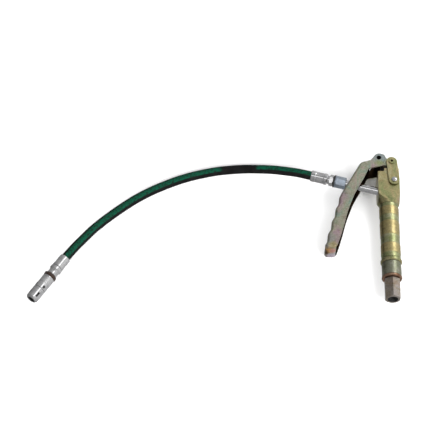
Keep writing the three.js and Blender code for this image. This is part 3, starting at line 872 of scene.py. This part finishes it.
def lever_outline():
    """Outline points, and how strongly the web bends at each (1 on the web, 0 on a cut edge)."""
    fingers = finger_side()
    web = quadratic(FREE_EDGE[-1], (-71.6, LEVER_END), (-76.2, LEVER_END))
    web += [(-78.8, LEVER_END), (-81.4, LEVER_END)]
    web += quadratic(web[-1], (-85.8, LEVER_END), fingers[0])[:-1]
    web += fingers + spline([fingers[-1], (-58.3, 56), (-51.3, 69), (-45, 81), (-38.9, 92.6)])[1:]
    web += quadratic(web[-1], (-36.2, 97.6), (-31, 98.2)) + [(-27.5, 98.55), (-25, 98.85)]
    pivot = (PIN_AXIS.x / MM, PIN_AXIS.y / MM)
    cut = [(-23.4, 99)]
    cut += arc((-11.4, 103.4), 7.3, 155, 66, 20) + [(-6.4, 109.4), (-4.6, 108.4), (-3.3, 106.4), (-2.4, 103)]
    cut += arc(pivot, 7.6, 128, -104, 40) + [(-4.2, 91.2), (-24.5, 86.4)]
    cut += quadratic(cut[-1], (-27, 85.2), (-28, 81.5)) + spline([(-28, 81.5), *FREE_EDGE])[1:]
    weights = [min(1.0, k / 7, (len(web) - 1 - k) / 3) for k in range(len(web))]
    return web + cut, weights + [0.0] * len(cut)


def inset_layers(outline, weights, half, radius, steps=6):
    """Outlines stacked from -half to half whose weighted points curl inwards at both faces."""
    count = len(outline)
    normals = []
    for i in range(count):
        ahead = Vector(outline[(i + 1) % count]) - Vector(outline[i - 1])
        normals.append(Vector((ahead.y, -ahead.x)).normalized())
    layers = []
    for k in range(steps, -1, -1):
        t = math.pi / 2 * k / steps
        layers.append((-(half - radius + radius * math.sin(t)), radius * (1 - math.cos(t))))
    layers += [(-z, d) for z, d in reversed(layers)]
    return [
        (z, [tuple(Vector(p) + n * (w * d)) for p, n, w in zip(outline, normals, weights)])
        for z, d in layers
    ]


def lever_hollow():
    """What lies between the two walls: everything more than a wall's thickness inside the web."""
    floor_y = LEVER_END + WALL
    fingers = [(x + WALL, y) for x, y in finger_side()][2:]
    web = [(30, floor_y), (-70, floor_y), (-78, floor_y), (-81, floor_y)]
    web += quadratic(web[-1], (-83.6, floor_y), fingers[0])[:-1] + fingers
    web += spline([fingers[-1], (-56.4, 55.2), (-49.4, 68.2), (-43.1, 80.2), (-37, 91.8)])[1:]
    web += quadratic(web[-1], (-34.9, 95.6), (-31, 96.2)) + [(-23.2, 97)]
    rest = [(-23.2, 125), (30, 125)]
    return web + rest, [0.0] + [1.0] * (len(web) - 2) + [0.0] * (len(rest) + 1)


def lever():
    outline, weights = lever_outline()
    shell = prism("lever_shell", inset_layers(outline, weights, LEVER_HALF, BEND), HANDLE)
    shell.data.materials.append(OLIVE)
    inner, inner_weights = lever_hollow()
    hollow_layers = inset_layers(inner, inner_weights, LEVER_HALF - WALL, BEND - WALL, 4)
    hollow = prism("hollow", hollow_layers, HANDLE)
    # The channel's inner faces take the painted shade material.
    hollow.data.materials.append(INSIDE_SHADE)
    slot_place = HANDLE @ Matrix.Translation(Vector((-47.5, 75, 0)) * MM)
    slot_place = slot_place @ Matrix.Rotation(math.radians(-28), 4, "Z")
    slot = block("slot", (16, 33, 13), slot_place)
    carve(shell, "DIFFERENCE", hollow, slot)
    eye = standing(Vector((*EYE, 0)) * MM)
    # A spacer tube between the lugs; it and the eye hole take the painted shade material, so the eye shows
    # painted shade.
    spacer = rod("spacer", 4.8, -12.6, 12.6, eye)
    spacer.data.materials.append(INSIDE_SHADE)
    carve(shell, "UNION", spacer)
    eye_hole = rod("eye_hole", 3.2, -20, 20, eye)
    eye_hole.data.materials.append(INSIDE_SHADE)
    pivot_hole = rod("pivot_hole", 3.3, -20, 20, standing(PIN_AXIS))
    drive_hole = rod("drive_hole", 2.6, -20, 20, standing(DRIVE_AXIS))
    carve(shell, "DIFFERENCE", eye_hole, pivot_hole, drive_hole)
    bevelled(cleaned(shell), 0.3, 2, 40)
    placed(shell, "lever", ["lever"], "olive_zinc")
    profile = [(0, -14.1), (2.1, -14.1), (2.5, -13.7), (2.5, 13.7), (2.1, 14.1), (0, 14.1)]
    pin = turned("lever_drive_pin", profile, standing(DRIVE_AXIS), 0.15, SMALL_SEGMENTS)
    placed(pin, "lever", ["drive_pin"], "olive_zinc", OLIVE)


# ------------------------------------------------------------------ links

PLATE_HALF = 7.3
PLATE_INNER = 14.65
PLATE_THICK = 2.4
PLATE_OUTSIDE = PLATE_INNER + PLATE_THICK + 0.3  # where the screw and pin heads start
DIMPLE_RADIUS = 1.75


def links():
    low = Vector((SCREW_AXIS.x / MM, SCREW_AXIS.y / MM))
    high = Vector((PIN_AXIS.x / MM, PIN_AXIS.y / MM))
    lean = math.degrees(math.atan2(high.y - low.y, high.x - low.x))
    outline = arc(high, PLATE_HALF, lean - 90, lean + 90, 32)
    outline += arc(low, PLATE_HALF, lean + 90, lean + 270, 32)
    for side, name in ((1, "front"), (-1, "back")):
        faces = sorted((side * PLATE_INNER, side * (PLATE_INNER + PLATE_THICK)))
        plate = prism(f"link_{name}", [(z, outline) for z in faces], HANDLE)
        carve(
            plate,
            "DIFFERENCE",
            rod("low_hole", 3.3, -20, 20, standing(SCREW_AXIS)),
            rod("high_hole", 3.3, -20, 20, standing(PIN_AXIS)),
        )
        bevelled(cleaned(plate), 0.5, 3, 40)
        placed(plate, "link", [f"link_plate_{name}"], "yellow_zinc", YELLOW)
        screw(side, name)
    top_pin()


def screw(side, name):
    """A shoulder screw with a domed head."""
    seat = PLATE_OUTSIDE
    profile = [(0, 7), (2.5, 7), (2.5, 14), (3, PLATE_INNER), (3, seat), (3.6, seat), (3.6, seat + 0.7)]
    profile += [(3.4 * math.cos(t), seat + 0.75 + 0.65 * math.sin(t)) for t in (0.0, 0.35, 0.7, 1.05)]
    profile.append((0, seat + 1.4))
    profile = [(r, y * side) for r, y in profile]
    body = turned(f"screw_{name}", profile, standing(SCREW_AXIS), 0.12, SMALL_SEGMENTS)
    return placed(body, "handle", [f"link_screw_{name}"], "bright_steel", BRIGHT)


def top_pin():
    """The riveted pin, with a drilled centre in each end painted dark as painted shade."""
    seat, head = PLATE_OUTSIDE, PLATE_OUTSIDE + 1.2
    half = [(3, seat), (4.1, seat), (4.1, head - 0.6), (3.5, head)]
    half += [(1.9, head), (1.5, head - 1.2), (0, head - 1.2)]
    profile = [(r, -y) for r, y in reversed(half)] + half
    pin = turned("link_pin", profile, standing(PIN_AXIS), 0.15, SMALL_SEGMENTS)
    pin.data.materials.append(YELLOW)
    pin.data.materials.append(INSIDE_SHADE)
    # Faces in the drilled centre take the painted shade material.
    for face in pin.data.polygons:
        offset = HANDLE_ORIGIN + PIN_AXIS - face.center
        if math.hypot(offset.x, offset.y) < DIMPLE_RADIUS * MM:
            face.material_index = 1
    return placed(pin, "link", ["link_top_pin"], "olive_zinc")


# ------------------------------------------------------------------ outlet and hose ends


def outlet():
    pipe = [(2.2, -5.7), (5.2, -5.7), (5.2, 47.2), (2.2, 47.2)]
    placed(turned("pipe", pipe, OUTLET, 0.3), "handle", ["outlet_pipe"], "bright_steel", BRIGHT)
    adaptor = hex_bar("adaptor", 14, 43.5, 57.2, 1.1, OUTLET)
    flange = [(0, 56.9), (8.2, 56.9), (8.5, 57.2), (8.5, 58), (8.2, 58.3), (0, 58.3)]
    carve(adaptor, "UNION", turned("flange", flange, OUTLET, 0))
    chamber = [(0, 42), (5.5, 42), (5.5, 47.5), (3.5, 47.5), (3.5, 54.5), (4.8, 54.5), (4.8, 59), (0, 59)]
    carve(adaptor, "DIFFERENCE", turned("chamber", chamber, OUTLET, 0))
    bevelled(cleaned(adaptor), 0.3, 2, 24)
    placed(adaptor, "handle", ["outlet_adaptor"], "bright_steel", BLUE_ZINC)
    seal = [(4.9, 58.6), (8.4, 58.6), (8.4, 60.6), (4.9, 60.6)]
    placed(turned("adaptor_ring", seal, OUTLET, 0.7), "handle", ["adaptor_seal_ring"], "black_rubber", BLACK)
    insert = hex_bar("hose_insert", 13.4, 60.9, 66.2, 0.9, OUTLET)
    carve(insert, "UNION", rod("nose", 4.5, 54.8, 62, OUTLET), rod("neck", 5.75, 65.5, 68.5, OUTLET))
    carve(insert, "DIFFERENCE", rod("way", 1.8, 50, 80, OUTLET))
    bevelled(cleaned(insert), 0.25, 2, 24)
    placed(insert, "handle", ["front_insert"], "bright_steel", BRIGHT)


def ferrule(name, node, start, end, place):
    """A crimped ferrule: a plain collar at start, eight crimp marks and a rolled lip at the hose."""
    r = 7.6
    crimped = r - 0.35
    length = abs(end - start)
    sense = 1 if end > start else -1
    profile = [(1.9, 0), (r - 1, 0), (r, 1.2), (r, 4.2), (crimped, 5)]
    profile += [(crimped, 5.0 + k) for k in range(1, int(length - 11))]
    profile += [(crimped, length - 6.6), (r - 0.1, length - 6), (r - 0.1, length - 0.7), (r - 0.6, length)]
    profile += [(6.1, length), (6.1, length - 3.4), (1.9, length - 3.4)]
    low, high = 5.2, length - 6.8

    def crimp(angle, radius, y):
        depth = abs(y - start)
        if radius < 7 or not low < depth < high:
            return radius
        edge = min(1.0, (depth - low) / 1.5, (high - depth) / 1.5)
        return radius - 0.2 * edge * (0.5 + 0.5 * math.cos(8 * angle)) ** 3

    profile = [(radius, start + sense * y) for radius, y in profile]
    piece = turned(name, profile, place, 0.25, FINE_SEGMENTS, crimp)
    return placed(piece, "handle", [node], "bright_steel", BRIGHT)


# ------------------------------------------------------------------ coupler

BODY_RADIUS = 8.1
BODY_RANGE = (36.6, 57)
NOSE_RANGE = (57.3, 75.2)
KNURL_RANGE = (38.5, 50.5)
KNURL_TEETH = 34
KNURL_DEPTH = 0.3
POCKET_ANGLES = (-43, 47, 137, 227)  # degrees round the coupler


def coupler():
    r = BODY_RADIUS
    collar = [(1.8, 19.4), (r - 0.4, 19.4), (r, 19.8), (r, 23.4), (r - 0.5, 23.8)]
    neck = [(6.9, 25), (6.55, 27), (6.55, 31.2), (6, 32), (4.2, 32), (4.2, 40), (1.8, 40)]
    insert = turned("rear_hose_insert", collar + neck, COUPLER, 0.3)
    placed(insert, "handle", ["rear_insert"], "bright_steel", BRIGHT)
    profile = [(4.5, 32.3), (7.9, 32.3), (8.7, 33), (8.7, 35.6), (7.9, 36.3), (4.5, 36.3)]
    ring = turned("lock_ring", profile, COUPLER, 0.5)
    placed(ring, "handle", ["coupler_lock_ring"], "brown_rubber", LOCK_RUBBER)
    coupler_body()
    coupler_nose()


def knurl(angle, radius, y):
    """The coupler's radius at a point, with its diamond knurl."""
    low, high = KNURL_RANGE
    if radius < BODY_RADIUS - 0.05 or not low < y < high:
        return radius
    turns = KNURL_TEETH * angle / math.pi / 2
    rise = (y - low) * 0.62
    cells = abs(((turns + rise) % 1) - 0.5) + abs(((turns - rise) % 1) - 0.5)
    edge = min(1.0, (y - low) / 0.8, (high - y) / 0.8)
    return radius - KNURL_DEPTH * edge * cells


def notched(piece, station, size):
    """Cuts four shallow milled pockets round the coupler, painted dark inside as painted shade."""
    piece.data.materials.append(BRIGHT)
    for angle in POCKET_ANGLES:
        spin = Matrix.Rotation(math.radians(angle), 4, "Y")
        place = COUPLER @ spin @ Matrix.Translation(Vector((0, station, BODY_RADIUS)) * MM)
        pocket = block("pocket", size, place)
        # Painted shade inside the pocket.
        pocket.data.materials.append(DARK_AND_SHADE)
        carve(piece, "DIFFERENCE", pocket)
    return piece


def coupler_body():
    r = BODY_RADIUS
    start, end = BODY_RANGE
    profile = [(4.5, start), (r - 0.6, start), (r, start + 0.6)]
    profile += [(r, start + 0.6 + 0.32 * k) for k in range(1, 58)]
    profile += [(r, 56.5), (r - 0.4, end), (5.6, end), (5.6, 60), (4.9, 60), (4.9, 42), (4.5, 42)]
    body = turned("coupler_sleeve", profile, COUPLER, 0, 6 * KNURL_TEETH, knurl)
    placed(notched(body, 54, (3.3, 3.8, 2.4)), "handle", ["coupler_body"], "bright_steel")


def coupler_nose():
    r = BODY_RADIUS
    start, end = NOSE_RANGE
    outside = [(6, start), (r - 0.4, start), (r, start + 0.5), (r, end - 2.4), (r - 1.2, end - 0.4)]
    inside = [(r - 1.7, end), (4.9, end), (4.9, 72.6), (5.6, 68), (5.6, 60.4), (6, 60.4)]
    nose = notched(turned("coupler_tip", outside + inside, COUPLER, 0.5, 96), 67, (2.5, 6.7, 3.0))
    bevelled(cleaned(nose), 0.2, 2, 40)
    placed(nose, "handle", ["coupler_nose"], "bright_steel")


# ------------------------------------------------------------------ pieces that stay as CAD made them


def keep_cad(node, material):
    piece = frame["nodes"][node]
    piece.data.materials.clear()
    piece.data.materials.append(material)
    shaded(piece)
    return piece


# The plunger's dark steel is partly grease and partly painted shade where it lies in the lever's channel.
CAD_MATERIALS = {
    "pump_liner": DARK_AND_SHADE, "plunger_packing": SEAL, "inlet_valve_seat": DARK_AND_SHADE, "inlet_check_ball": BRIGHT,
    "inlet_check_spring": BRIGHT, "plunger": DARK_AND_SHADE, "plunger_return_spring": BRIGHT,
    "outlet_check_ball": BRIGHT, "outlet_check_spring": BRIGHT, "coupler_spring": BRIGHT,
    "coupler_seal": SEAL, "coupler_jaw_1": DARK_AND_SHADE, "coupler_jaw_2": DARK_AND_SHADE, "coupler_jaw_3": DARK_AND_SHADE,
    "coupler_jaw_4": DARK_AND_SHADE,
}

# ------------------------------------------------------------------ making the object

head_block()
grip_tube()
inlet_rings()
inlet_hex()
lever()
links()
outlet()
ferrule("front_hose_ferrule", "front_ferrule", 68.8, 91.5, OUTLET)
ferrule("rear_hose_ferrule", "rear_ferrule", 19.1, 1, COUPLER)
coupler()
for node_name, cad_material in CAD_MATERIALS.items():
    keep_cad(node_name, cad_material)

on_hose = ["hose_insert", "front_hose_ferrule", "rear_hose_ferrule", "rear_hose_insert", "lock_ring"]
on_hose += ["coupler_sleeve", "coupler_tip"]

# ------------------------------------------------------------------ floor, light and world


def floor():
    bm = bmesh.new()
    reach = 3.0
    corners = [(-reach, -reach), (reach, -reach), (reach, reach), (-reach, reach)]
    bm.faces.new([bm.verts.new((x, y, -0.0002)) for x, y in corners])
    slab = object_from("floor", bm, Matrix.Identity(4), scaled=False)
    material, n = new_material("floor_paint", 0.0, 0.6)
    speck = n.noise(n.position(), 6, 2)
    n.set("Base Color", n.mix(speck, (0.93, 0.93, 0.93), (0.95, 0.95, 0.95)))
    slab.data.materials.append(material)
    slab.visible_glossy = False


def area_light(name, location, target, side, power, reflected):
    """A soft square light; one that isn't reflected doesn't show in glossy surfaces."""
    data = bpy.data.lights.new(name, "AREA")
    data.shape = "SQUARE"
    data.size = side
    data.energy = power
    light = bpy.data.objects.new(name, data)
    light.location = location
    toward = Vector(target) - Vector(location)
    light.rotation_euler = toward.to_track_quat("-Z", "Y").to_euler()
    light.visible_glossy = reflected
    bpy.context.scene.collection.objects.link(light)


def softbox(n, direction, toward, inner, outer):
    """1 for directions within `inner` degrees of a softbox's middle, 0 beyond `outer`."""
    middle = Vector(toward).normalized()
    product = n.add("ShaderNodeVectorMath", {0: direction, 1: middle}, operation="DOT_PRODUCT")
    facing = product.outputs["Value"]
    return n.between(facing, math.cos(math.radians(outer)), math.cos(math.radians(inner)))


def world():
    """A soft studio, brighter to the right, with two softboxes overhead and a dark card between them."""
    made = bpy.data.worlds.new("studio")
    made.use_nodes = True
    bpy.context.scene.world = made
    n = Nodes(made, "Background")
    direction = n.add("ShaderNodeTexCoord").outputs["Generated"]
    split = n.add("ShaderNodeSeparateXYZ", {"Vector": direction})
    across = n.between(split.outputs["X"], -1, 1)
    greys = ((0, 0.28), (0.4, 0.48), (0.58, 0.68), (0.8, 0.95))
    side = n.ramp(across, [(position, (grey,) * 3) for position, grey in greys])
    upward = n.ramp(n.between(split.outputs["Z"], -0.3, 0.3), [(0, (0.8,) * 3), (1, (1, 1, 1))])
    color = n.mix(1.0, side, upward, "MULTIPLY")
    cards = (((-0.05, -0.35, 0.93), 2.6), ((0.5, 0.1, 0.86), 2.6), ((0.04, 0.10, 0.99), 0.10))
    for toward, brightness in cards:
        color = n.mix(softbox(n, direction, toward, 5, 12), color, (brightness,) * 3)
    n.set("Color", color)
    n.set("Strength", 1.0)


LIGHTS = {  # where each one stands from the object's middle in metres, its side, its watts, its reflection
    "front_left": ((-0.65, -1.12, 0.9), 0.7, 28, False),
    "front_right": ((0.95, -0.9, 0.9), 0.7, 28, False),
    "right": ((0.80, 0.70, 0.74), 0.5, 3, True),
}
floor()
world()
middle = (cad_box[0] + cad_box[1]) / 2
for light_name, (offset, side, power, reflected) in LIGHTS.items():
    area_light(light_name, middle + Vector(offset), middle, side, power, reflected)
bpy.context.scene.view_settings.view_transform = "Standard"
